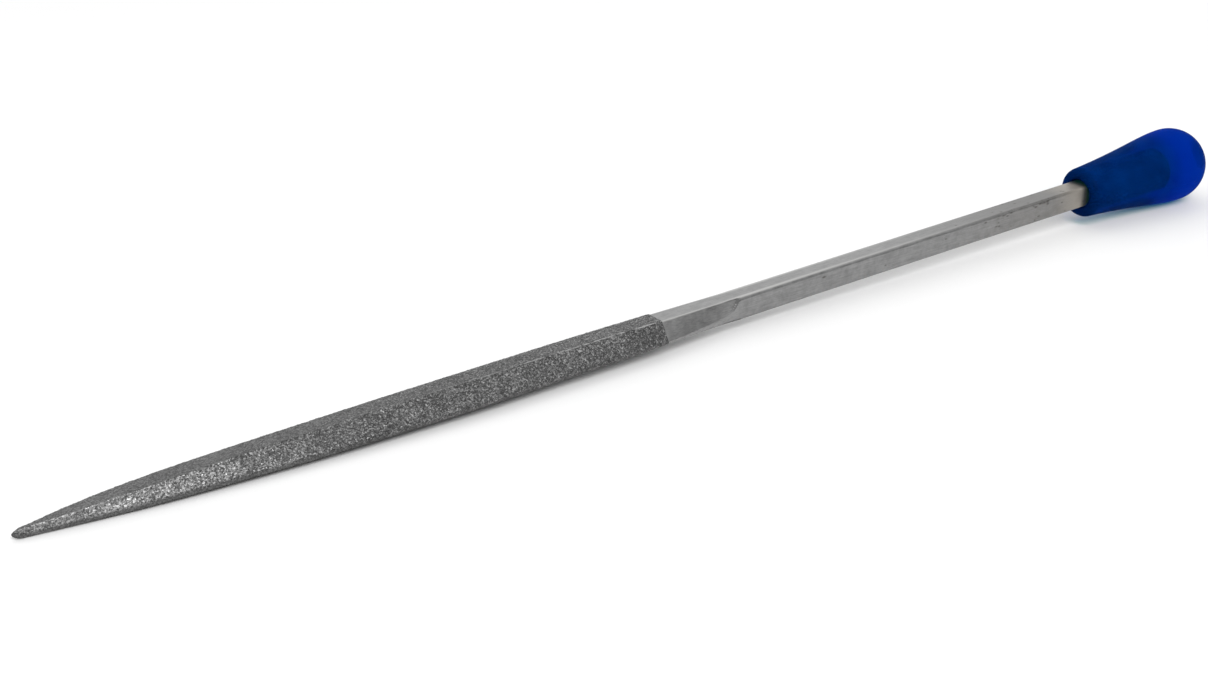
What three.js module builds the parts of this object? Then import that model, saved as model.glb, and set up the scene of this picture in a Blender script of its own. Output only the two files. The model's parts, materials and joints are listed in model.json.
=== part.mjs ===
// A needle file: a ground steel blank, a nickel-bonded diamond coating and a moulded grip.
// Millimetres, +Z up. The file lies on the ground plane z = 0, on its tip and on the grip's bulb,
// with the point towards -X and the grip towards +X. Each piece is first drawn on the blank's own
// long axis (x = 0 at the steel point), and one turned group then lays the file down.

import * as THREE from 'three';
import { ParametricGeometry } from 'three/addons/geometries/ParametricGeometry.js';
import { mergeGeometries, mergeVertices } from 'three/addons/utils/BufferGeometryUtils.js';

// ---------------------------------------------------------------- driving dimensions

const STEEL_LENGTH = 142.6;       // point to the end of the tang
const NOSE_LENGTH = 1.2;          // rounded end of the point
const COATED_LENGTH = 67.3;       // steel point to the edge of the coating
const GROUND_END = 77.2;          // where the ground facets run out into the shank
const RUN_OUT = 0.3;              // length of the small step at that run-out
const SHANK_START = 82;           // from here to the tang the bar is constant
const TANG_START = 129.4;         // from here, inside the grip, it tapers a little

const SHANK_HALF = 1.25;          // square bar, half of its width across flats
const SHANK_CORNER = 1.05;        // where its broken corners begin, from the centre
const SHANK_RADIUS = 0.2;         // rounding where a broken corner meets a flat
const TANG_END_HALF = 1.14;
const TANG_CHAMFER = 0.4;

const COAT_THICKNESS = 0.09;
const COAT_GAP = 0.03;            // clearance between the steel and the coating solid
const COAT_OUTER = COAT_GAP + COAT_THICKNESS;

const GRIP_START = 129.5;         // mouth of the grip
const GRIP_END = 149.9;
const GRIP_MOUTH_R = 2.94;
const GRIP_BULB_R = 4.42;
const GRIP_RIM_R = 0.9;           // rounding of the mouth's outer rim
const GRIP_WAIST_R = 3.48;        // these three shape the hollow curve from rim to bulb
const GRIP_WAIST_X = 138.6;
const GRIP_SHOULDER_X = 142.5;
const BORE_CLEARANCE = 0.03;
const BORE_CHAMFER = 0.15;
const BORE_TIP = 1.1;             // length of the bore's round bottom

// Each list gives [x, value] along the blank's axis; values between are a smooth curve.
const TOP_HALF = [                // half-width of the narrow top facet
  [NOSE_LENGTH, 0.16], [4, 0.53], [8, 0.8], [14, 0.95], [46, 1.05],
  [COATED_LENGTH, 1.09], [GROUND_END, 1.02],
];
const TOP_Z = [                   // height of the top facet above the axis
  [NOSE_LENGTH, 0.7], [4, 0.87], [8, 1.1], [14, 1.33], [21, 1.45], [42, 1.54], [55, 1.51],
  [COATED_LENGTH, 1.38], [GROUND_END, SHANK_HALF],
];
const SIDE_HALF = [               // half-width of the flat base, seen from above
  [NOSE_LENGTH, 0.22], [4, 0.62], [7.3, 1.08], [12.5, 1.7], [20, 2.24], [30, 2.71], [43, 2.9],
  [54, 2.63], [COATED_LENGTH, 2.22], [74, 1.6], [GROUND_END, 1.29], [SHANK_START, SHANK_HALF],
];
const BASE_Z_NOSE = -0.11;        // the flat base is a plane between these two heights
const BASE_Z_NECK = -0.67;
const NECK_BASE_Z = [             // underside of the neck
  [COATED_LENGTH, BASE_Z_NECK], [71.8, -0.95], [74, -1.08], [GROUND_END, -SHANK_HALF],
];
const WALL_Z = [                  // upper edge of the narrow upright edge beside the base
  [NOSE_LENGTH, 0.32], [7, 0.3], [30, 0.1], [45, -0.03], [60, -0.34], [COATED_LENGTH, -0.48],
  [74, -0.42], [76, -0.12], [77, 0.45], [GROUND_END, SHANK_CORNER],
];
const BLADE_ROUNDING = 0.06;      // small rounding of the blade's ground edges
const BASE_ROUNDING = [
  [NOSE_LENGTH, 0.06], [COATED_LENGTH, 0.08], [74, 0.3], [GROUND_END, SHANK_RADIUS],
];

const MERGE_DISTANCE = 1e-6;
const CORNER_STEPS = 3;           // segments in each rounded corner of a section
const NOSE_STEPS = 5;
const BLADE_STEP = 3.2;           // distance between sections along the blade
const NECK_STEP = 1.1;
const GRIP_SEGMENTS = 36;
const GRIP_CURVE_STEPS = 9;
const GRIP_END_STEPS = 8;
const BORE_STEPS = 4;
const RIM_STEPS = 3;

const STEEL = { name: 'steel', color: 0x9a9a9a, roughness: 0.38, metalness: 1.0 };
const COATING = { name: 'diamond_grit', color: 0x6a6a6a, roughness: 0.75, metalness: 0.6 };
const PLASTIC = {
  name: 'blue_plastic', color: 0x07349a, roughness: 0.18, metalness: 0.0,
  transparent: true, opacity: 0.85,
};

// ---------------------------------------------------------------- helpers

// A smooth curve through [x, value] points, as a function of x; constant beyond both ends.
function curve(points) {
  const secants = points.slice(1).map(([x, y], i) => (y - points[i][1]) / (x - points[i][0]));
  const slope = points.map((_, i) => {
    const left = secants[Math.max(i - 1, 0)];
    const right = secants[Math.min(i, secants.length - 1)];
    return left * right <= 0 ? 0 : (2 * left * right) / (left + right);
  });
  return (x) => {
    if (x <= points[0][0]) return points[0][1];
    const i = points.findIndex((point) => point[0] >= x);
    if (i < 0) return points[points.length - 1][1];
    const [[x0, y0], [x1, y1]] = [points[i - 1], points[i]];
    const span = x1 - x0;
    const t = (x - x0) / span;
    const rise = y0 + (y1 - y0) * t * t * (3 - 2 * t);
    return rise + span * t * (1 - t) * (slope[i - 1] * (1 - t) - slope[i] * t);
  };
}

const topHalf = curve(TOP_HALF);
const topZ = curve(TOP_Z);
const sideHalf = curve(SIDE_HALF);
const neckBaseZ = curve(NECK_BASE_Z);
const wallZ = curve(WALL_Z);
const baseRounding = curve(BASE_ROUNDING);

function baseZ(x) {
  if (x > COATED_LENGTH) return neckBaseZ(x);
  return THREE.MathUtils.mapLinear(x, NOSE_LENGTH, COATED_LENGTH, BASE_Z_NOSE, BASE_Z_NECK);
}

// The three corners of a section's +Y half, from the top down, each with its rounding.
function corners(x) {
  const ground = THREE.MathUtils.clamp((GROUND_END + RUN_OUT - x) / RUN_OUT, 0, 1);
  const blend = (blade, shank) => THREE.MathUtils.lerp(shank, blade, ground);
  return [
    { y: blend(topHalf(x), SHANK_CORNER), z: topZ(x), r: blend(BLADE_ROUNDING, SHANK_RADIUS) },
    { y: sideHalf(x), z: blend(wallZ(x), SHANK_CORNER), r: blend(BLADE_ROUNDING, SHANK_RADIUS) },
    { y: sideHalf(x), z: baseZ(x), r: baseRounding(x) },
  ];
}

// A section's closed outline, offset outwards by grow, as points (y, z) from the base round the
// +Y side to the top and back down the -Y side.
function outline(x, grow) {
  const [ridge, wall, base] = corners(x);
  const slope = new THREE.Vector2(ridge.z - wall.z, wall.y - ridge.y).normalize();
  const up = new THREE.Vector2(0, 1);
  const out = new THREE.Vector2(1, 0);
  const down = new THREE.Vector2(0, -1);
  const half = [[base, down, out], [wall, out, slope], [ridge, slope, up]].flatMap(
    ([corner, before, after]) => roundedCorner(corner, before, after, grow),
  );
  const mirrored = half.map((point) => new THREE.Vector2(-point.x, point.y)).reverse();
  return [...half, ...mirrored];
}

// The arc that rounds a corner between two edges with the outward normals before and after.
function roundedCorner(corner, before, after, grow) {
  const inset = new THREE.Vector2().addVectors(before, after).divideScalar(1 + before.dot(after));
  const centre = new THREE.Vector2(corner.y, corner.z).addScaledVector(inset, -corner.r);
  const turned = Math.acos(before.dot(after));
  return Array.from({ length: CORNER_STEPS + 1 }, (_, i) => {
    const angle = after.angle() - turned * (1 - i / CORNER_STEPS);
    return new THREE.Vector2(Math.cos(angle), Math.sin(angle))
      .multiplyScalar(corner.r + grow).add(centre);
  });
}

function evenSteps(from, to, step) {
  const count = Math.ceil((to - from) / step);
  return Array.from({ length: count }, (_, i) => from + ((to - from) * i) / count);
}

// Rings of the rounded nose, offset outwards by grow: the section at the nose's root, shrunk
// towards the axis point of an ellipse.
function noseRings(grow) {
  const root = outline(NOSE_LENGTH, grow);
  const centreZ = (topZ(NOSE_LENGTH) + baseZ(NOSE_LENGTH)) / 2;
  return Array.from({ length: NOSE_STEPS }, (_, i) => {
    const angle = (i / NOSE_STEPS) * (Math.PI / 2);
    const x = NOSE_LENGTH - (NOSE_LENGTH + grow) * Math.cos(angle);
    return root.map((point) => new THREE.Vector3(
      x, point.x * Math.sin(angle), centreZ + (point.y - centreZ) * Math.sin(angle),
    ));
  });
}

function ringAt(x, grow, scale = 1) {
  return outline(x, grow).map((point) => new THREE.Vector3(x, point.x * scale, point.y * scale));
}

// A skin through rings with the same number of points, facing out when x grows from ring to ring.
// A first or last ring of one repeated point closes that end.
function skin(rings) {
  const around = rings[0].length;
  const place = (u, v, target) => {
    const ring = rings[Math.round(v * (rings.length - 1))];
    target.copy(ring[Math.round(u * around) % around]);
  };
  const geometry = new ParametricGeometry(place, around, rings.length - 1);
  geometry.deleteAttribute('normal');
  geometry.deleteAttribute('uv');
  return geometry;
}

function turnedInsideOut(geometry) {
  const flipped = geometry.clone();
  flipped.setIndex(Array.from(geometry.index.array).reverse());
  return flipped;
}

// Joins skins along the edges they share. Triangles that collapsed at a point are dropped.
function closedBody(skins) {
  const geometry = mergeVertices(mergeGeometries(skins), MERGE_DISTANCE);
  const triangles = Array.from({ length: geometry.index.count / 3 }, (_, i) =>
    Array.from(geometry.index.array.slice(3 * i, 3 * i + 3)));
  geometry.setIndex(triangles.filter((triangle) => new Set(triangle).size === 3).flat());
  geometry.computeVertexNormals();
  return geometry;
}

function pointRing(x, z, count) {
  return Array.from({ length: count }, () => new THREE.Vector3(x, 0, z));
}

// ---------------------------------------------------------------- pieces

// Steel: nose, blade core, ground neck, square shank and tang, all one forged and ground bar.
function steelBlank() {
  const nose = noseRings(0);
  const sections = [
    ...evenSteps(NOSE_LENGTH, COATED_LENGTH, BLADE_STEP),
    ...evenSteps(COATED_LENGTH, GROUND_END, NECK_STEP),
    GROUND_END,
    GROUND_END + RUN_OUT / 2,
    GROUND_END + RUN_OUT,
    SHANK_START,
    TANG_START,
  ];
  const tangEnd = ringAt(STEEL_LENGTH - TANG_CHAMFER, 0, TANG_END_HALF / SHANK_HALF);
  const end = ringAt(STEEL_LENGTH, 0, (TANG_END_HALF - TANG_CHAMFER) / SHANK_HALF);
  const rings = [...nose, ...sections.map((x) => ringAt(x, 0)), tangEnd, end];
  return closedBody([skin([...rings, pointRing(STEEL_LENGTH, 0, end.length)])]);
}

// Coating: a thin sleeve over the blade with a closed nose, open at its neck end.
function diamondCoating() {
  const stations = [...evenSteps(NOSE_LENGTH, COATED_LENGTH, BLADE_STEP), COATED_LENGTH];
  const layer = (grow) => [...noseRings(grow), ...stations.map((x) => ringAt(x, grow))];
  const [outside, inside] = [layer(COAT_OUTER), layer(COAT_GAP)];
  const rim = [outside[outside.length - 1], inside[inside.length - 1]];
  return closedBody([skin(outside), turnedInsideOut(skin(inside)), skin(rim)]);
}

// Grip: a pear-shaped moulding turned about the axis, with a round blind bore that the square
// shank's corners are pressed into, so a gap shows beside each flat.
function gripProfile() {
  const shankReach = Math.hypot(SHANK_HALF, SHANK_CORNER);
  const boreR = shankReach + BORE_CLEARANCE;
  const boreEnd = STEEL_LENGTH + BORE_CLEARANCE;
  const bulbX = GRIP_END - GRIP_BULB_R;
  const rimX = GRIP_START + GRIP_RIM_R;
  const cone = new THREE.CubicBezierCurve(
    new THREE.Vector2(GRIP_MOUTH_R, rimX),
    new THREE.Vector2(GRIP_WAIST_R, GRIP_WAIST_X),
    new THREE.Vector2(GRIP_BULB_R, GRIP_SHOULDER_X),
    new THREE.Vector2(GRIP_BULB_R, bulbX),
  );
  const arc = (cx, cy, rx, ry, from, to, steps) =>
    new THREE.EllipseCurve(cx, cy, rx, ry, from, to).getPoints(steps);
  const bore = arc(0, boreEnd, boreR, BORE_TIP, Math.PI / 2, 0, BORE_STEPS);
  const rim = arc(GRIP_MOUTH_R - GRIP_RIM_R, rimX, GRIP_RIM_R, GRIP_RIM_R, -Math.PI / 2, 0, RIM_STEPS);
  const bulb = arc(0, bulbX, GRIP_BULB_R, GRIP_BULB_R, 0, Math.PI / 2, GRIP_END_STEPS);
  return [
    ...bore,
    new THREE.Vector2(boreR, GRIP_START + BORE_CHAMFER),
    new THREE.Vector2(boreR + BORE_CHAMFER, GRIP_START),
    ...rim,
    ...cone.getPoints(GRIP_CURVE_STEPS).slice(1),
    ...bulb.slice(1),
  ];
}

function grip() {
  const profile = gripProfile();
  profile[0].x = 0;
  profile[profile.length - 1].x = 0;
  const geometry = new THREE.LatheGeometry(profile, GRIP_SEGMENTS);
  geometry.rotateZ(-Math.PI / 2);
  return geometry;
}

// ---------------------------------------------------------------- assembly

function mesh(name, geometry, look) {
  const piece = new THREE.Mesh(geometry, new THREE.MeshStandardMaterial(look));
  piece.name = name;
  return piece;
}

// The coating's base and the bulb both touch the ground: the tilt that a straight edge under
// them has, measured at the nose's root.
function layDown() {
  const noseDrop = COAT_OUTER - baseZ(NOSE_LENGTH);
  const reach = GRIP_END - GRIP_BULB_R - NOSE_LENGTH;
  const chord = Math.hypot(reach, noseDrop);
  const tilt = Math.asin(GRIP_BULB_R / chord) - Math.atan2(noseDrop, reach);
  const laid = new THREE.Group();
  laid.rotation.y = -tilt;
  const bulb = new THREE.Vector3(GRIP_END - GRIP_BULB_R, 0, 0).applyEuler(laid.rotation);
  laid.position.z = GRIP_BULB_R - bulb.z;
  return laid;
}

const laid = layDown();
laid.add(mesh('steel_blank', steelBlank(), STEEL));
laid.add(mesh('diamond_coating', diamondCoating(), COATING));
laid.add(mesh('grip', grip(), PLASTIC));

// The origin is below the middle of the file, on the ground.
const group = new THREE.Group();
group.add(laid);
group.updateMatrixWorld(true);
const box = new THREE.Box3().setFromObject(group, true);
laid.position.x -= (box.min.x + box.max.x) / 2;
laid.position.z -= box.min.z;

export default group;
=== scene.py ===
"""A diamond needle file on a pale floor: grit-coated blade, ground neck, square steel shank and blue grip.

Lengths are in metres. The file lies tilted on the floor, so its pieces are made along its own long
axis, from the middle of the grip's bulb, and turned into place by one matrix.
"""
import json
import math

import bpy
import numpy as np
from mathutils import Matrix, Vector
from mathutils.bvhtree import BVHTree
from mathutils.geometry import interpolate_bezier
from mathutils.kdtree import KDTree


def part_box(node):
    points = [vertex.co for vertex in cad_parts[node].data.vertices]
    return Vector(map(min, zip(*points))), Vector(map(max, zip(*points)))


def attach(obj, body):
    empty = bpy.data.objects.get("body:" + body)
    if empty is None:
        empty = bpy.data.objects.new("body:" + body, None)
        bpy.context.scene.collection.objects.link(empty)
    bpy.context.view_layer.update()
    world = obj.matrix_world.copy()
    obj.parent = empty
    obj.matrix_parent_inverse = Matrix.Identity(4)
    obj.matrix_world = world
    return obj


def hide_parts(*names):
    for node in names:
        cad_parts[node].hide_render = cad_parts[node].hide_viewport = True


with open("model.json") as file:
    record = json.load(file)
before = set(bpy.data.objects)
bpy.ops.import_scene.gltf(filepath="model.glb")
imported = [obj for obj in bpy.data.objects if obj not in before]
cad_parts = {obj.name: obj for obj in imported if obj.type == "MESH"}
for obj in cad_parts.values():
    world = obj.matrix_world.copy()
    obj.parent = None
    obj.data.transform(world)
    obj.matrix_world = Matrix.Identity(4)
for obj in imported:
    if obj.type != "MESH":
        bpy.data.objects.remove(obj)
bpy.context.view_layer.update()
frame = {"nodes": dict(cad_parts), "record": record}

MM = 0.001
MICRON = 0.001 * MM
SEED = 7

# Camera: the point that it aims at, two angles and a distance
CAMERA_AIM = Vector((-16.2 * MM, -3.1 * MM, 4.42 * MM))
CAMERA_DISTANCE = 194.6 * MM
CAMERA_AZIMUTH = math.radians(-35.79)      # from -Y, turning towards +X
CAMERA_ELEVATION = math.radians(23.78)
CAMERA_ROLL = math.radians(0.10)
CAMERA_LENS = 59.6

# Rings of points round the CAD's surface, for the coating and the steel
RING_POINTS = 132
OUTLINE_RAYS = 260
UPPER_WEIGHT = 1.7           # how much denser the points are off the underside

# Blade coating
RING_STEP = 0.1 * MM
NOSE_RADIUS = 1.0 * MM
NICKEL_DEPTH = 0.045 * MM    # nickel between the grains, below the coating's nominal skin
RIM_DEPTH = 0.085 * MM       # and the coating's inner face
HIDDEN_STEP = 3 * MM         # between the rings of the coating's inner face
GRAIN_RADIUS = (0.09 * MM, 0.16 * MM)
GRAIN_HEIGHT = (0.010 * MM, 0.027 * MM)
GRAIN_AREA = 0.035 * MM * MM  # surface for each grain
GRAIN_LEAN = 0.16            # spread of the slopes of the grains' tops
GRAIN_CORNERS = 0.72         # how far a square grain's corners are cut
GRAIN_SIDES = 2.2            # steepness of its sides
NEAR_GRAINS = 5              # how many grains can reach one point
PLAIN_LOSS = 0.65            # how much lower the grains stand on the plainer faces
WALL_HEIGHT = 0.5 * MM       # the narrow upright edges beside the base
WALL_BLEND = 0.1 * MM
TOP_FACET = (0.93, 0.05)     # a normal's Z where the top facet starts, and its blend
TOP_EDGE = 0.96              # and at that facet's edge
BASE = (0.5, 0.2)            # how far down a normal points where the base starts, and its blend

# Bare steel
STEEL_STEP = 0.15 * MM
HIDDEN_RINGS = (40, 30)      # under the coating and inside the grip
OVERLAP = 1 * MM             # how far the close rings go on under the coating and into the grip
SHANK_HALF = 1.25 * MM
EDGE_HIGHLIGHT_FROM = 0.48           # share of the half width where the painted highlight on the upper face starts
EDGE_HIGHLIGHT_BLEND = 0.22
GROUND_LENGTH = 10.9 * MM    # from the first close ring to the step where the ground facets end
STEP_REACH = 2.6 * MM        # how far back along the facets that step can still be seen
STEP_FADE = 1.5 * MM         # over what length it comes in
STEP_END = 0.35 * MM         # how far past its place the step's shade goes on
STEP_WIDTH = 0.4 * MM        # how near its place the step's own small wall is looked for
STEP_TURN = (0.15, 0.3)      # how sharply the surface turns where the step shows, and its blend
CORNER_TURN = (0.1, 0.2)     # and where the ground facets' upper corners get a painted highlight
CORNER_END = 0.5 * MM        # how far before the step those corners stop
UNGROUND = 0.97              # a normal's Z above which the upper face is left as drawn
PIT_COUNT = 84
PIT_CLUSTERED = 26
PIT_GROUPS = (8.3 * MM, 14 * MM)   # the clusters' places, back from the grip's mouth
PIT_GROUP_LENGTH = 0.8 * MM
PIT_CORNER = math.radians(140)     # the upper corner that the clusters sit beside, round from +Y
PIT_CORNER_SPREAD = 0.13
PIT_REACH = 45 * MM
PIT_BIAS = (1.1, 2.2)              # the other pits' places: a beta spread, denser towards the grip
PIT_RADIUS = (0.06 * MM, 0.16 * MM)
PIT_STRETCH = (1, 3)               # how much longer than wide a pit is
PIT_SIDES = 1.4                    # steepness of a pit's sides
PIT_DEPTH = 0.02 * MM

# Where the look changes along the file, in millimetres from its middle: the point is at about -75
SLOPE_PAINTED_HIGHLIGHT = (-43, -66)          # painted highlight: the grains on the slopes get brighter
POINT_PAINTED_HIGHLIGHT = (-63, -72)      # and a stronger painted highlight nearer the point
POINT_SHADE = (-73.2, -74.8)  # but darker on the rounded end
FACETS_MERGE = (-55, -25)     # the plainer faces get more like the slopes
WORN_RIDGE = (-42, -12)       # the top facet's edge shows bright dashes
EDGE_PAINTED_HIGHLIGHT = (40, 5)              # painted highlight on the shank's upper face beside its edges
HANDLED = (33, 54)            # the steel dulls towards the grip
UPWARD_DARKER = (22, 45)          # and darker still on its upward-facing faces
MOUTH_PAINTED_LIGHT = (49, 54)            # painted light: the steel made warm and bright next to the grip, where the bore's shade falls
MOUTH_LESS_METAL = (50, 54)             # and less metal there, so the painted light shows instead of a dark reflection
MOUTH_PAINTED_SHADE = (53.7, 54.4)          # painted shade where the bar goes into the grip

# Grip: the moulding's outline, measured along its axis from its mouth
GRIP_MOUTH_R = 2.94 * MM
GRIP_RIM_R = 0.9 * MM
GRIP_WAIST = (9.1 * MM, 3.48 * MM)
GRIP_SHOULDER = 13.0 * MM
BORE_R = 1.662 * MM
BORE_CHAMFER = 0.15 * MM
BORE_DEPTH = 13.13 * MM
BORE_TIP = 1.1 * MM
GRIP_TURNS = 128
FIT = 0.999                  # the bulb's radius as a share of the CAD bulb's, to stay inside it
LIP_PAINTED_SHADE = 0.2               # how much painted shade darkens the mouth's lip
BULB_PAINTED_GLOW = (-4.2 * MM, 2.2 * MM)  # from the bulb's middle: where a painted glow starts, a clearer blue standing for light shining through past the steel's end, and its blend
BULB_FADE = (0.4 * MM, 2.4 * MM)   # and where it starts to fade again
BULB_LOSS = 0.9                    # and the share of it that is lost there


# ---------------------------------------------------------------- the file's own axis

def bulb_radius():
    low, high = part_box("grip")
    return (high.y - low.y) / 2


def axis_frame():
    """The matrix that lays the file down: from its own axis, with the bulb's middle at 0, to the floor."""
    top = next(m for m in frame["record"]["mounts"] if m["name"] == "shank_top")
    tilt = math.atan2(-top["axis"][0], top["axis"][2])
    low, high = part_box("grip")
    bulb = Vector((high.x - bulb_radius(), 0, low.z + bulb_radius()))
    return Matrix.Translation(bulb) @ Matrix.Rotation(-tilt, 4, "Y")


LAID = axis_frame()
UNLAID = LAID.inverted()


def axis_mesh(node):
    """A CAD node's mesh on the file's own axis, as vertices and triangles."""
    mesh = frame["nodes"][node].data
    mesh.calc_loop_triangles()
    points = [UNLAID @ v.co for v in mesh.vertices]
    return points, [tuple(t.vertices) for t in mesh.loop_triangles]


def piece(name, points, faces, material, node):
    """A new mesh object on the file's axis, laid down, riding on the one body and standing for a CAD node."""
    mesh = bpy.data.meshes.new(name)
    mesh.from_pydata([LAID @ Vector(p) for p in points], [], faces)
    mesh.polygons.foreach_set("use_smooth", [True] * len(mesh.polygons))
    mesh.materials.append(material)
    made = bpy.data.objects.new(name, mesh)
    bpy.context.scene.collection.objects.link(made)
    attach(made, "root")
    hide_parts(node)
    return made


def paint(made, **layers):
    """Values at a piece's first points, as attributes for its material. Any points after them get 0."""
    for name, values in layers.items():
        whole = np.zeros(len(made.data.vertices), np.float32)
        whole[: values.size] = values.ravel()
        made.data.attributes.new(name, "FLOAT", "POINT").data.foreach_set("value", whole)


def closed_faces(rows, columns):
    """Quads between closed rings of points, and fans at the ends, to the two points that follow the rings."""
    index = np.arange(rows * columns).reshape(rows, columns)
    beside = np.roll(index, -1, axis=1)
    quads = np.stack([index[:-1], beside[:-1], beside[1:], index[1:]], axis=-1).reshape(-1, 4).tolist()
    start, end = index.size, index.size + 1
    first = [(start, b, a) for a, b in zip(index[0].tolist(), beside[0].tolist())]
    last = [(a, b, end) for a, b in zip(index[-1].tolist(), beside[-1].tolist())]
    return quads + first + last


# ---------------------------------------------------------------- node helpers

def material(name):
    made = bpy.data.materials.new(name)
    made.use_nodes = True
    made.node_tree.nodes.clear()
    return made, made.node_tree


def add(tree, kind, inputs=None, **settings):
    """A new node with its settings, and its inputs linked to sockets or set to values."""
    made = tree.nodes.new(kind)
    for key, value in settings.items():
        setattr(made, key, value)
    for key, value in (inputs or {}).items():
        if isinstance(value, bpy.types.NodeSocket):
            tree.links.new(value, made.inputs[key])
        else:
            made.inputs[key].default_value = value
    return made


def millimetres(tree, scale=(1, 1, 1), turn=(0, 0, 0)):
    """The object's coordinates in millimetres, scaled for a pattern that is stretched."""
    place = add(tree, "ShaderNodeTexCoord")
    size = tuple(s / MM for s in scale)
    mapped = add(tree, "ShaderNodeMapping", {
        "Vector": place.outputs["Object"], "Scale": size, "Rotation": turn})
    return mapped.outputs["Vector"]


def painted(tree, name):
    """A value that paint() left on the mesh."""
    return add(tree, "ShaderNodeAttribute", attribute_name=name).outputs["Fac"]


def noise(tree, vector, scale, detail=3.0, roughness=0.5, distortion=0.0):
    made = add(tree, "ShaderNodeTexNoise", {
        "Vector": vector, "Scale": scale, "Detail": detail, "Roughness": roughness, "Distortion": distortion})
    return made.outputs["Fac"]


def ramp(tree, factor, stops):
    """A colour ramp through (position, grey or colour) stops."""
    made = add(tree, "ShaderNodeValToRGB", {"Fac": factor})
    elements = made.color_ramp.elements
    while len(elements) > 1:
        elements.remove(elements[-1])
    for i, (position, value) in enumerate(stops):
        colour = (value, value, value) if isinstance(value, (int, float)) else value
        element = elements[0] if i == 0 else elements.new(position)
        element.position = position
        element.color = (*colour, 1)
    return made.outputs["Color"]


def maths(tree, operation, a, b, c=0.0):
    return add(tree, "ShaderNodeMath", {0: a, 1: b, 2: c}, operation=operation).outputs[0]


def times(tree, *values):
    result = values[0]
    for value in values[1:]:
        result = maths(tree, "MULTIPLY", result, value)
    return result


def mixed(tree, factor, a, b, blend="MIX"):
    """Two colours blended. Inputs 6 and 7 and output 2 are the mix node's colour sockets."""
    made = add(tree, "ShaderNodeMix", {"Factor": factor}, data_type="RGBA", blend_type=blend)
    for socket, value in ((made.inputs[6], a), (made.inputs[7], b)):
        if isinstance(value, bpy.types.NodeSocket):
            tree.links.new(value, socket)
        else:
            socket.default_value = (*value, 1)
    return made.outputs[2]


def mapped_range(tree, value, low, high, to_low=0.0, to_high=1.0):
    made = add(tree, "ShaderNodeMapRange", {
        "Value": value, "From Min": low, "From Max": high, "To Min": to_low, "To Max": to_high})
    return made.outputs[0]


def bump(tree, height, distance, strength):
    return add(tree, "ShaderNodeBump", {
        "Height": height, "Distance": distance, "Strength": strength}).outputs["Normal"]


def finished(tree, surface, volume=None):
    inputs = {"Surface": surface.outputs[0]}
    if volume is not None:
        inputs["Volume"] = volume.outputs[0]
    add(tree, "ShaderNodeOutputMaterial", inputs)


# ---------------------------------------------------------------- materials

def grit_material():
    """Grey nickel with grains, duller on most of the blade; a painted highlight makes them bright and
    sparkling on the sloping faces near the point.
    """
    made, tree = material("diamond_grit_in_nickel")
    place = millimetres(tree)
    along = add(tree, "ShaderNodeSeparateXYZ", {"Vector": place}).outputs["X"]
    cells = add(tree, "ShaderNodeTexVoronoi", {"Vector": place, "Scale": 8.0, "Randomness": 1.0})
    shade = add(tree, "ShaderNodeSeparateColor", {"Color": cells.outputs["Color"]}).outputs[0]
    wormy = noise(tree, place, 7.0, 2.0, 0.55, 1.0)
    grain = maths(tree, "MULTIPLY_ADD", shade, 0.35, times(tree, wormy, 0.75))
    bright = ramp(tree, grain, [(0.35, 0.055), (0.5, 0.12), (0.61, 0.19), (0.7, 0.3)])
    dull = ramp(tree, grain, [(0.37, 0.044), (0.54, 0.088), (0.67, 0.165), (0.78, 0.36)])
    smoother = ramp(tree, grain, [(0.35, 0.085), (0.5, 0.105), (0.7, 0.14)])
    # painted highlight: the slopes' grains brighten towards the point
    colour = mixed(tree, mapped_range(tree, along, *SLOPE_PAINTED_HIGHLIGHT), dull, bright)
    colour = mixed(tree, mapped_range(tree, along, *POINT_PAINTED_HIGHLIGHT), colour, (1.45, 1.45, 1.45), "MULTIPLY")
    colour = mixed(tree, mapped_range(tree, along, *POINT_SHADE), colour, (0.5, 0.5, 0.5), "MULTIPLY")
    plain = times(tree, painted(tree, "plain"), mapped_range(tree, along, *FACETS_MERGE, 0.85, 0.3))
    colour = mixed(tree, plain, colour, smoother)
    patches = ramp(tree, noise(tree, place, 0.4, 3.0), [(0.35, 0.88), (0.65, 1.08)])
    colour = mixed(tree, 1.0, colour, patches, "MULTIPLY")
    dashes = ramp(tree, noise(tree, millimetres(tree, (0.4, 1, 1)), 1.6, 3.0), [(0.43, 0.0), (0.49, 1.0)])
    worn = times(tree, painted(tree, "ridge"), dashes, mapped_range(tree, along, *WORN_RIDGE))
    colour = mixed(tree, worn, colour, (0.38, 0.38, 0.38))
    fine = noise(tree, place, 16.0, 2.0, 0.6)
    height = maths(tree, "MULTIPLY_ADD", fine, 0.25, grain)
    roughness = ramp(tree, grain, [(0.4, 0.62), (0.6, 0.48), (0.75, 0.38)])
    shader = add(tree, "ShaderNodeBsdfPrincipled", {
        "Base Color": colour, "Roughness": roughness, "Metallic": 0.8,
        "Normal": bump(tree, height, 0.035 * MM, 0.7)})
    finished(tree, shader)
    return made


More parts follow.
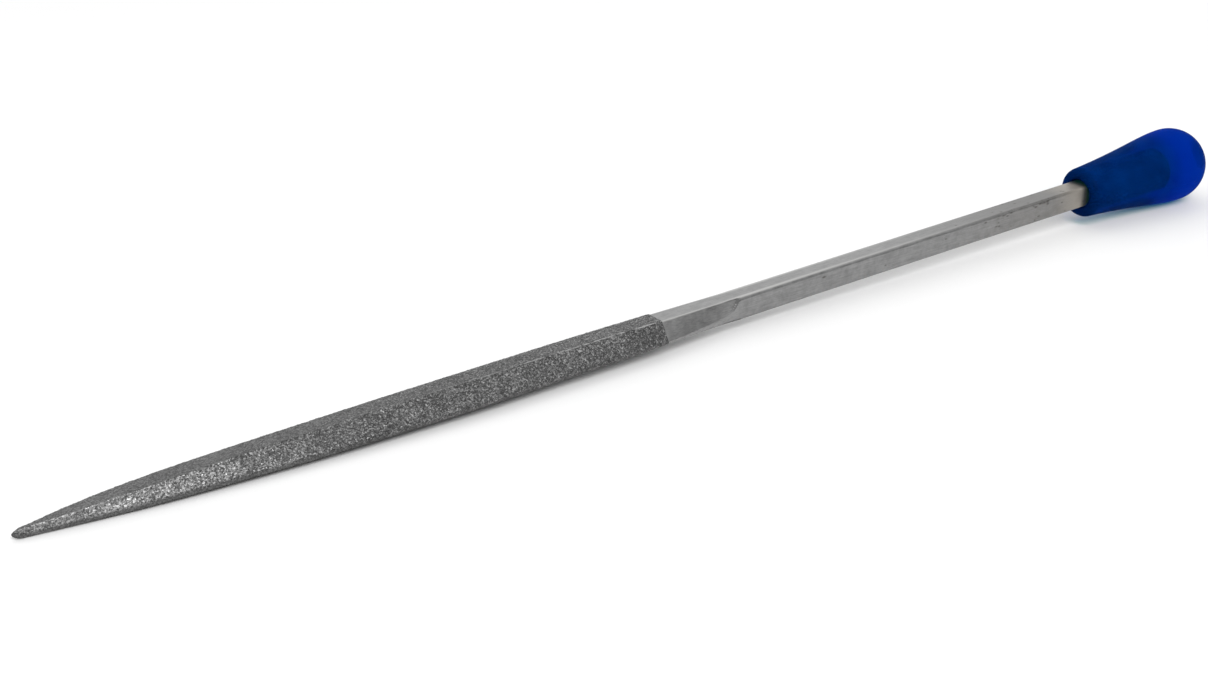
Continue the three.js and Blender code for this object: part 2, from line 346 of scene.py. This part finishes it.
def steel_material():
    """Drawn and ground steel: lengthwise lines, a mottle, dark pits, painted highlights by the edges, painted
    shade at the step, upward faces darker towards the grip, and painted light then painted shade where it
    goes into the grip.
    """
    made, tree = material("ground_and_drawn_steel")
    place = millimetres(tree)
    along = add(tree, "ShaderNodeSeparateXYZ", {"Vector": place}).outputs["X"]
    normal = add(tree, "ShaderNodeNewGeometry").outputs["Normal"]
    upward = add(tree, "ShaderNodeSeparateXYZ", {"Vector": normal}).outputs["Z"]
    lengthwise = millimetres(tree, (0.05, 1, 1))
    fine_lines = noise(tree, lengthwise, 10.0, 4.0, 0.65)
    broad_lines = noise(tree, lengthwise, 2.6, 3.0, 0.5)
    mottle = noise(tree, place, 1.3, 5.0, 0.62)
    lines = ramp(tree, fine_lines, [(0.3, 0.22), (0.55, 0.275), (0.75, 0.34)])
    colour = mixed(tree, 1.0, lines, ramp(tree, mottle, [(0.3, 0.82), (0.7, 1.14)]), "MULTIPLY")
    colour = mixed(tree, mapped_range(tree, along, *HANDLED, 0.0, 0.45), colour, (0.19, 0.175, 0.155))
    # upward-facing faces darker towards the grip
    darker_up = times(
        tree, mapped_range(tree, upward, 0.7, 0.97), mapped_range(tree, along, *UPWARD_DARKER, 0.0, 0.5))
    colour = mixed(tree, darker_up, colour, (0.12, 0.12, 0.12))
    # painted light: warm and bright next to the grip, over the bore's shade
    colour = mixed(tree, mapped_range(tree, along, *MOUTH_PAINTED_LIGHT, 0.0, 0.6), colour, (0.38, 0.34, 0.28))
    # painted shade where the bar goes into the grip
    colour = mixed(tree, mapped_range(tree, along, *MOUTH_PAINTED_SHADE, 0.0, 0.85), colour, (0.01, 0.02, 0.02))
    slanting = millimetres(tree, (0.12, 1, 1), (0, 0, 0.06))
    grinding = ramp(tree, noise(tree, slanting, 14.0, 3.0, 0.6), [(0.35, 0.24), (0.7, 0.38)])
    colour = mixed(tree, times(tree, painted(tree, "ground"), 0.7), colour, grinding)
    # painted highlight beside the upper face's edges and on the ground facets' upper corners
    painted_highlight = times(tree, painted(tree, "edge"), mapped_range(tree, along, *EDGE_PAINTED_HIGHLIGHT, 0.0, 0.8))
    colour = mixed(tree, painted_highlight, colour, (0.5, 0.5, 0.49))
    colour = mixed(tree, times(tree, painted(tree, "pit"), 0.8), colour, (0.06, 0.055, 0.05))
    # painted shade along the step where the ground facets run out, made dull so it shows no glint
    step = painted(tree, "step")
    colour = mixed(tree, times(tree, step, 0.65), colour, (0.11, 0.11, 0.11))
    relief = maths(tree, "MULTIPLY_ADD", mottle, 0.5, fine_lines)
    relief = maths(tree, "MULTIPLY_ADD", broad_lines, 0.6, relief)
    roughness = mixed(tree, step, ramp(tree, mottle, [(0.3, 0.3), (0.7, 0.42)]), (0.8, 0.8, 0.8))
    # less metal next to the grip, so its painted light is not lost in a dark reflection
    shader = add(tree, "ShaderNodeBsdfPrincipled", {
        "Base Color": colour, "Roughness": roughness,
        "Metallic": mapped_range(tree, along, *MOUTH_LESS_METAL, 1.0, 0.45),
        "Normal": bump(tree, relief, 0.010 * MM, 0.6)})
    finished(tree, shader)
    return made


def plastic_material():
    """Deep blue plastic: light passes through it, a little hazed, and its surface has only a faint gloss;
    painted shade darkens the bore and the mouth's lip, and a painted glow lightens the bulb.
    """
    made, tree = material("translucent_blue_plastic")
    place = millimetres(tree)
    cloud = noise(tree, place, 0.5, 3.0)
    scuffs = noise(tree, millimetres(tree, (0.5, 1, 1)), 6.0, 4.0, 0.6)
    relief = bump(tree, scuffs, 0.004 * MM, 0.3)
    bore, lip, bulb = (painted(tree, name) for name in ("bore", "lip", "bulb"))
    tint = ramp(tree, cloud, [(0.3, (0.0, 0.024, 0.15)), (0.7, (0.0, 0.032, 0.19))])
    # painted glow: the bulb past the steel's end is a clearer, lighter blue
    tint = mixed(tree, bulb, tint, (0.0, 0.028, 0.31))
    # painted shade inside the bore and on the mouth's lip
    tint = mixed(tree, maths(tree, "MAXIMUM", bore, lip), tint, (0.0, 0.009, 0.028))
    clear = add(tree, "ShaderNodeBsdfRefraction", {
        "Color": ramp(tree, cloud, [(0.3, (0.5, 0.7, 1.0)), (0.7, (0.6, 0.8, 1.0))]),
        "Roughness": 0.22, "IOR": 1.3, "Normal": relief})
    haze = add(tree, "ShaderNodeBsdfDiffuse", {"Color": tint, "Normal": relief})
    # random haze, and the bore turned to dark haze as painted shade
    haze_and_bore_shade = maths(
        tree, "MAXIMUM", times(tree, bore, 0.9), ramp(tree, cloud, [(0.3, 0.45), (0.7, 0.55)]))
    body = add(tree, "ShaderNodeMixShader", {"Fac": haze_and_bore_shade, 1: clear.outputs[0], 2: haze.outputs[0]})
    gloss = add(tree, "ShaderNodeBsdfGlossy", {
        "Color": (0.35, 0.5, 1.0, 1), "Roughness": ramp(tree, scuffs, [(0.3, 0.2), (0.75, 0.32)]),
        "Normal": relief})
    grazing = add(tree, "ShaderNodeFresnel", {"IOR": 1.2})
    surface = add(tree, "ShaderNodeMixShader", {
        "Fac": times(tree, grazing.outputs[0], 0.12), 1: body.outputs[0], 2: gloss.outputs[0]})
    volume = add(tree, "ShaderNodeVolumeAbsorption", {"Color": (0.0, 0.5, 0.86, 1), "Density": 900})
    through = add(tree, "ShaderNodeBsdfTransparent", {"Color": (0.1, 0.9, 0.6, 1)})
    path = add(tree, "ShaderNodeLightPath")
    lit = add(tree, "ShaderNodeMixShader", {
        "Fac": path.outputs["Is Shadow Ray"], 1: surface.outputs[0], 2: through.outputs[0]})
    finished(tree, lit, volume)
    return made


# ---------------------------------------------------------------- rings round the CAD's surface

def outline(tree, x):
    """A CAD node's outer section at x, as points round it from its underside, by rays sent inwards."""
    reach = 20 * MM
    top = tree.ray_cast(Vector((x, 0, reach)), Vector((0, 0, -1)))[0]
    bottom = tree.ray_cast(Vector((x, 0, -reach)), Vector((0, 0, 1)))[0]
    middle = Vector((x, 0, (top.z + bottom.z) / 2))
    points = []
    for i in range(OUTLINE_RAYS):
        angle = 2 * math.pi * i / OUTLINE_RAYS - math.pi / 2
        way = Vector((0, math.cos(angle), math.sin(angle)))
        points.append(tree.ray_cast(middle + way * reach, -way)[0])
    return np.array(points)


def spread_evenly(points, count):
    """count points round a closed outline, evenly apart, but closer together off its underside."""
    closed = np.vstack([points, points[:1]])
    steps = np.diff(closed, axis=0)
    lengths = np.hypot(steps[:, 1], steps[:, 2])
    upper = steps[:, 1] / (lengths + 1e-12) < 0.5
    run = np.concatenate([[0], np.cumsum(lengths * np.where(upper, UPPER_WEIGHT, 1))])
    places = np.linspace(0, run[-1], count, endpoint=False)
    return np.stack([np.interp(places, run, closed[:, k]) for k in range(3)], axis=1)


def outline_rings(tree, places):
    return np.array([spread_evenly(outline(tree, x), RING_POINTS) for x in places])


def node_surface(node):
    """A search tree of a CAD node's surface, and its start and end along the file."""
    points, triangles = axis_mesh(node)
    xs = [p.x for p in points]
    return BVHTree.FromPolygons(points, triangles), min(xs) + MICRON, max(xs) - MICRON


def unit(vectors):
    return vectors / (np.linalg.norm(vectors, axis=-1, keepdims=True) + 1e-12)


def surface_frames(rings):
    """Outward normals and the two tangents at each point of a grid of rings."""
    along = unit(np.gradient(rings, axis=0))
    around = unit(np.roll(rings, -1, axis=1) - np.roll(rings, 1, axis=1))
    return unit(np.cross(around, along)), along, around


def rising(values, start, width):
    """0 below start, 1 above start + width, and a straight rise between."""
    return np.clip((values - start) / width, 0, 1)


# ---------------------------------------------------------------- blade coating

def nose_and_blade(start, end):
    """Places of the rings along the blade, crowding into the rounded nose."""
    turns = int(NOSE_RADIUS * math.pi / 2 / RING_STEP)
    angles = np.arange(1, turns) / turns * math.pi / 2
    nose = start + NOSE_RADIUS * (1 - np.cos(angles))
    return np.concatenate([nose, np.arange(start + NOSE_RADIUS, end, RING_STEP), [end]])


def face_kinds(rings, normals):
    """Where the skin is plainer, on the top facet, base and upright edges, and where the top facet ends."""
    up, side = normals[..., 2], np.abs(normals[..., 1])
    above_base = rings[..., 2] - rings[..., 2].min(axis=1, keepdims=True)
    upright = (1 - rising(above_base, WALL_HEIGHT - WALL_BLEND, WALL_BLEND)) * (side > 0.6)
    plain = np.maximum.reduce([rising(up, *TOP_FACET), rising(-up, *BASE), upright])
    on_top = up > TOP_EDGE
    edge = (on_top != np.roll(on_top, 1, axis=1)) | (on_top != np.roll(on_top, -1, axis=1))
    return plain, edge.astype(float)


def grain_heights(rings, along, around, draw):
    """How far the diamond grains stand above the nickel at each point of the grid."""
    flat = rings.reshape(-1, 3)
    wide = np.linalg.norm(np.roll(rings, -1, axis=1) - rings, axis=-1)
    long = np.linalg.norm(np.gradient(rings, axis=0), axis=-1)
    area = (wide * long).ravel()
    count = int(area.sum() / GRAIN_AREA)
    chosen = draw.choice(len(flat), count, replace=False, p=area / area.sum())
    radius = draw.uniform(*GRAIN_RADIUS, count)
    height = draw.uniform(*GRAIN_HEIGHT, count)
    turn = draw.uniform(0, math.pi, count)
    lean = draw.normal(0, GRAIN_LEAN, (count, 2))
    side = along.reshape(-1, 3)[chosen], around.reshape(-1, 3)[chosen]
    tree = KDTree(count)
    for i, k in enumerate(chosen):
        tree.insert(flat[k], i)
    tree.balance()
    near = np.array([[i for _, i, _ in tree.find_n(p, NEAR_GRAINS)] for p in flat])
    best = np.zeros(len(flat))
    for k in range(NEAR_GRAINS):
        i = near[:, k]
        away = flat - flat[chosen[i]]
        u, v = (away * side[0][i]).sum(1), (away * side[1][i]).sum(1)
        a = np.abs(u * np.cos(turn[i]) + v * np.sin(turn[i]))
        b = np.abs(v * np.cos(turn[i]) - u * np.sin(turn[i]))
        gauge = np.maximum(np.maximum(a, b), (a + b) * GRAIN_CORNERS) / radius[i]
        crystal = np.minimum(1, GRAIN_SIDES * (1 - gauge)) * height[i] + u * lean[i, 0] + v * lean[i, 1]
        best = np.maximum(best, np.where(gauge < 1, crystal, 0))
    return np.minimum(best, NICKEL_DEPTH).reshape(rings.shape[:2])


def coating():
    """The blade's coated skin: nickel with faceted grains standing out of it, and a thin rim at the neck."""
    draw = np.random.default_rng(SEED)
    tree, start, end = node_surface("diamond_coating")
    rings = outline_rings(tree, nose_and_blade(start, end))
    normals, along, around = surface_frames(rings)
    plain, ridge = face_kinds(rings, normals)
    heights = grain_heights(rings, along, around, draw) * (1 - PLAIN_LOSS * plain)
    skin = rings + normals * (heights - NICKEL_DEPTH)[..., None]
    every = int(HIDDEN_STEP / RING_STEP)
    inside = (rings - normals * RIM_DEPTH)[:0:-every]
    rows = np.concatenate([skin, inside])
    ends = [rings[0].mean(axis=0) + (NICKEL_DEPTH, 0, 0), inside[-1].mean(axis=0)]
    faces = closed_faces(len(rows), RING_POINTS)
    points = [*rows.reshape(-1, 3), *ends]
    made = piece("diamond_coating_skin", points, faces, grit_material(), "diamond_coating")
    paint(made, plain=plain, ridge=ridge)


# ---------------------------------------------------------------- steel blank

def steel_places(start, end, bare, mouth):
    """Places of the steel's rings: close where it is bare, far apart inside the coating and the grip."""
    under, within = HIDDEN_RINGS
    return np.concatenate([
        np.linspace(start, bare, under, endpoint=False),
        np.arange(bare, mouth, STEEL_STEP),
        np.linspace(mouth, end, within)])


def pits(rings, mouth, draw):
    """Small pits in the drawn bar, most of them towards the grip, as a depth from 0 to 1 at each point."""
    flat = rings.reshape(-1, 3)
    depth = np.zeros(len(flat))
    back = draw.beta(*PIT_BIAS, PIT_COUNT) * PIT_REACH
    turn = draw.uniform(0, 2 * math.pi, PIT_COUNT)
    clustered = np.arange(PIT_COUNT) < PIT_CLUSTERED
    groups = draw.choice(PIT_GROUPS, PIT_COUNT) + draw.normal(0, PIT_GROUP_LENGTH, PIT_COUNT)
    back = np.where(clustered, groups, back)
    turn = np.where(clustered, draw.normal(PIT_CORNER, PIT_CORNER_SPREAD, PIT_COUNT), turn)
    for k in range(PIT_COUNT):
        ray = np.array([math.cos(turn[k]), math.sin(turn[k])])
        centre = np.array([mouth - back[k], *(ray * SHANK_HALF / np.abs(ray).max())])
        size = draw.uniform(*PIT_RADIUS)
        away = (flat - centre) / (size * draw.uniform(*PIT_STRETCH), size, size)
        depth = np.maximum(depth, np.clip(PIT_SIDES * (1 - np.linalg.norm(away, axis=1)), 0, 1))
    return depth.reshape(rings.shape[:2])


def sharpness(normals):
    """How quickly the surface turns at each point of a grid."""
    around = np.linalg.norm(np.roll(normals, 1, axis=1) - np.roll(normals, -1, axis=1), axis=-1)
    along = np.linalg.norm(np.gradient(normals, axis=0), axis=-1) * 2
    return np.maximum(around, along)


def worked_marks(rings, normals, bare):
    """Where painted highlights go beside the bar's edges, where it is ground, and where painted shade marks
    the step at which the ground facets run out.
    """
    x, up = rings[..., 0], normals[..., 2]
    run_out = bare + GROUND_LENGTH
    ground = (x < run_out) & (up < UNGROUND)
    turn = sharpness(normals)
    step = rising(turn, *STEP_TURN) * (np.abs(up) < 0.85)
    step *= rising(x, run_out - STEP_REACH, STEP_FADE) * (x < run_out + STEP_END)
    faces_point = normals[..., 0] < -0.2
    step[(np.abs(x - run_out) < STEP_WIDTH) & faces_point] = 1
    width = np.abs(rings[..., 1]) / np.abs(rings[..., 1]).max(axis=1, keepdims=True)
    # painted highlight: a band on the upper face beside its edges and on the ground facets' upper corners,
    # none on the step
    upper = rising(width, EDGE_HIGHLIGHT_FROM, EDGE_HIGHLIGHT_BLEND) * (up > 0.8)
    corner = rising(turn, *CORNER_TURN) * (up > 0.6) * (x < run_out - CORNER_END)
    painted_highlight = np.maximum(np.where(step > 0, 0, upper), corner)
    return painted_highlight, ground.astype(float), step


def steel():
    """The bare steel: the CAD blank's shape with rounded corners, pits, and marks of where it is ground, with
    painted highlights by its edges and painted shade at the step.
    """
    draw = np.random.default_rng(SEED)
    tree, start, end = node_surface("steel_blank")
    bare = max(p.x for p in axis_mesh("diamond_coating")[0]) - OVERLAP
    mouth = min(p.x for p in axis_mesh("grip")[0]) + OVERLAP
    rings = outline_rings(tree, steel_places(start, end, bare, mouth))
    rings[1:-1] = (np.roll(rings, 1, axis=1) + 2 * rings + np.roll(rings, -1, axis=1))[1:-1] / 4
    normals, _, _ = surface_frames(rings)
    pit = pits(rings, mouth, draw)
    painted_highlight, ground, step = worked_marks(rings, normals, bare)
    skin = rings - normals * (pit * PIT_DEPTH)[..., None]
    ends = [rings[0].mean(axis=0), rings[-1].mean(axis=0)]
    faces = closed_faces(len(skin), RING_POINTS)
    points = [*skin.reshape(-1, 3), *ends]
    made = piece("steel_bar", points, faces, steel_material(), "steel_blank")
    paint(made, pit=pit, edge=painted_highlight, ground=ground, step=step)


# ---------------------------------------------------------------- grip

def arc(centre, radius, start, end, steps, stretch=1.0):
    """Points (x, r) on an arc, from one angle to another, stretched along x."""
    angles = np.linspace(start, end, steps + 1)
    return [(centre[0] + stretch * radius * math.cos(a), centre[1] + radius * math.sin(a)) for a in angles]


def grip_profile():
    """The moulding's section as (x, r), from the bore's bottom, round the mouth, to the end of the bulb."""
    bulb = bulb_radius() * FIT
    mouth = min(p.x for p in axis_mesh("grip")[0])
    rim = (mouth + GRIP_RIM_R, GRIP_MOUTH_R - GRIP_RIM_R)
    quarter = math.pi / 2
    cone = interpolate_bezier(
        Vector((rim[0], GRIP_MOUTH_R, 0)), Vector((mouth + GRIP_WAIST[0], GRIP_WAIST[1], 0)),
        Vector((mouth + GRIP_SHOULDER, bulb, 0)), Vector((0, bulb, 0)), 60)
    return [
        *arc((mouth + BORE_DEPTH, 0), BORE_R, 0, quarter, 12, BORE_TIP / BORE_R),
        (mouth + BORE_DEPTH / 2, BORE_R),
        (mouth + BORE_CHAMFER, BORE_R),
        (mouth, BORE_R + BORE_CHAMFER),
        *arc(rim, GRIP_RIM_R, 2 * quarter, quarter, 14),
        *[(p.x, p.y) for p in cone[1:]],
        *arc((0, 0), bulb, quarter, 0, 30)[1:],
    ]


def grip():
    """The moulding, turned from its section, with painted shade on the bore and the mouth's lip and a painted
    glow in the bulb.
    """
    (deepest, _), *section, (farthest, _) = grip_profile()
    turns = np.linspace(0, 2 * math.pi, GRIP_TURNS, endpoint=False)
    points = [(x, r * math.cos(t), r * math.sin(t)) for x, r in section for t in turns]
    ends = [(deepest, 0, 0), (farthest, 0, 0)]
    faces = closed_faces(len(section), GRIP_TURNS)
    made = piece("grip_moulding", points + ends, faces, plastic_material(), "grip")
    xs, rs = np.array(section).T
    # painted shade on the bore and the mouth's lip; painted glow in the bulb
    bore = (rs < BORE_R + MICRON).astype(float)
    lip = np.where(rs > BORE_R, np.clip(2.5 - 4 * (xs - xs.min()) / GRIP_RIM_R, 0, LIP_PAINTED_SHADE), 0)
    bulb = rising(xs, *BULB_PAINTED_GLOW) * (1 - BULB_LOSS * rising(xs, *BULB_FADE)) * (1 - bore)
    marks = {"bore": bore, "lip": lip, "bulb": bulb}
    paint(made, **{name: np.repeat(mark, GRIP_TURNS) for name, mark in marks.items()})


# ---------------------------------------------------------------- stage, light and camera

def stage():
    made, tree = material("pale_floor")
    shader = add(tree, "ShaderNodeBsdfPrincipled", {"Base Color": (0.8, 0.8, 0.8, 1), "Roughness": 0.9})
    shader.inputs["Specular IOR Level"].default_value = 0.1
    finished(tree, shader)
    bpy.ops.mesh.primitive_plane_add(size=6)
    floor = bpy.context.object
    floor.name = "floor"
    floor.data.materials.append(made)


def softbox(name, place, size, power, aim):
    data = bpy.data.lights.new(name, "AREA")
    data.shape = "RECTANGLE"
    data.size, data.size_y = size
    data.energy = power
    made = bpy.data.objects.new(name, data)
    made.location = place
    made.rotation_euler = (Vector(aim) - Vector(place)).to_track_quat("-Z", "Y").to_euler()
    bpy.context.scene.collection.objects.link(made)


def lights():
    softbox("key", place=(-0.25, -1.02, 1.08), size=(0.7, 0.7), power=17, aim=(-0.03, 0, 0))
    world = bpy.data.worlds.new("studio")
    world.use_nodes = True
    tree = world.node_tree
    tree.nodes.clear()
    way = add(tree, "ShaderNodeSeparateXYZ", {"Vector": add(tree, "ShaderNodeTexCoord").outputs["Generated"]})
    front = ramp(tree, way.outputs["Z"], [(0.0, 0.35), (0.3, 0.6), (0.6, 0.95), (1.0, 1.0)])
    behind = mapped_range(tree, way.outputs["Y"], -0.1, 0.5)
    grey = mixed(tree, behind, front, (1.7, 1.7, 1.7))
    sky = add(tree, "ShaderNodeBackground", {"Color": grey, "Strength": 0.7})
    add(tree, "ShaderNodeOutputWorld", {"Surface": sky.outputs[0]})
    bpy.context.scene.world = world


def camera():
    data = bpy.data.cameras.new("camera")
    data.lens = CAMERA_LENS
    data.clip_start, data.clip_end = 0.01, 20
    made = bpy.data.objects.new("camera", data)
    back = Vector((
        math.sin(CAMERA_AZIMUTH) * math.cos(CAMERA_ELEVATION),
        -math.cos(CAMERA_AZIMUTH) * math.cos(CAMERA_ELEVATION),
        math.sin(CAMERA_ELEVATION)))
    made.location = CAMERA_AIM + back * CAMERA_DISTANCE
    look = (-back).to_track_quat("-Z", "Y").to_matrix() @ Matrix.Rotation(CAMERA_ROLL, 3, "Z")
    made.rotation_euler = look.to_euler()
    bpy.context.scene.collection.objects.link(made)
    bpy.context.scene.camera = made


camera()
stage()
lights()
bpy.context.scene.view_settings.view_transform = "Standard"
coating()
steel()
grip()
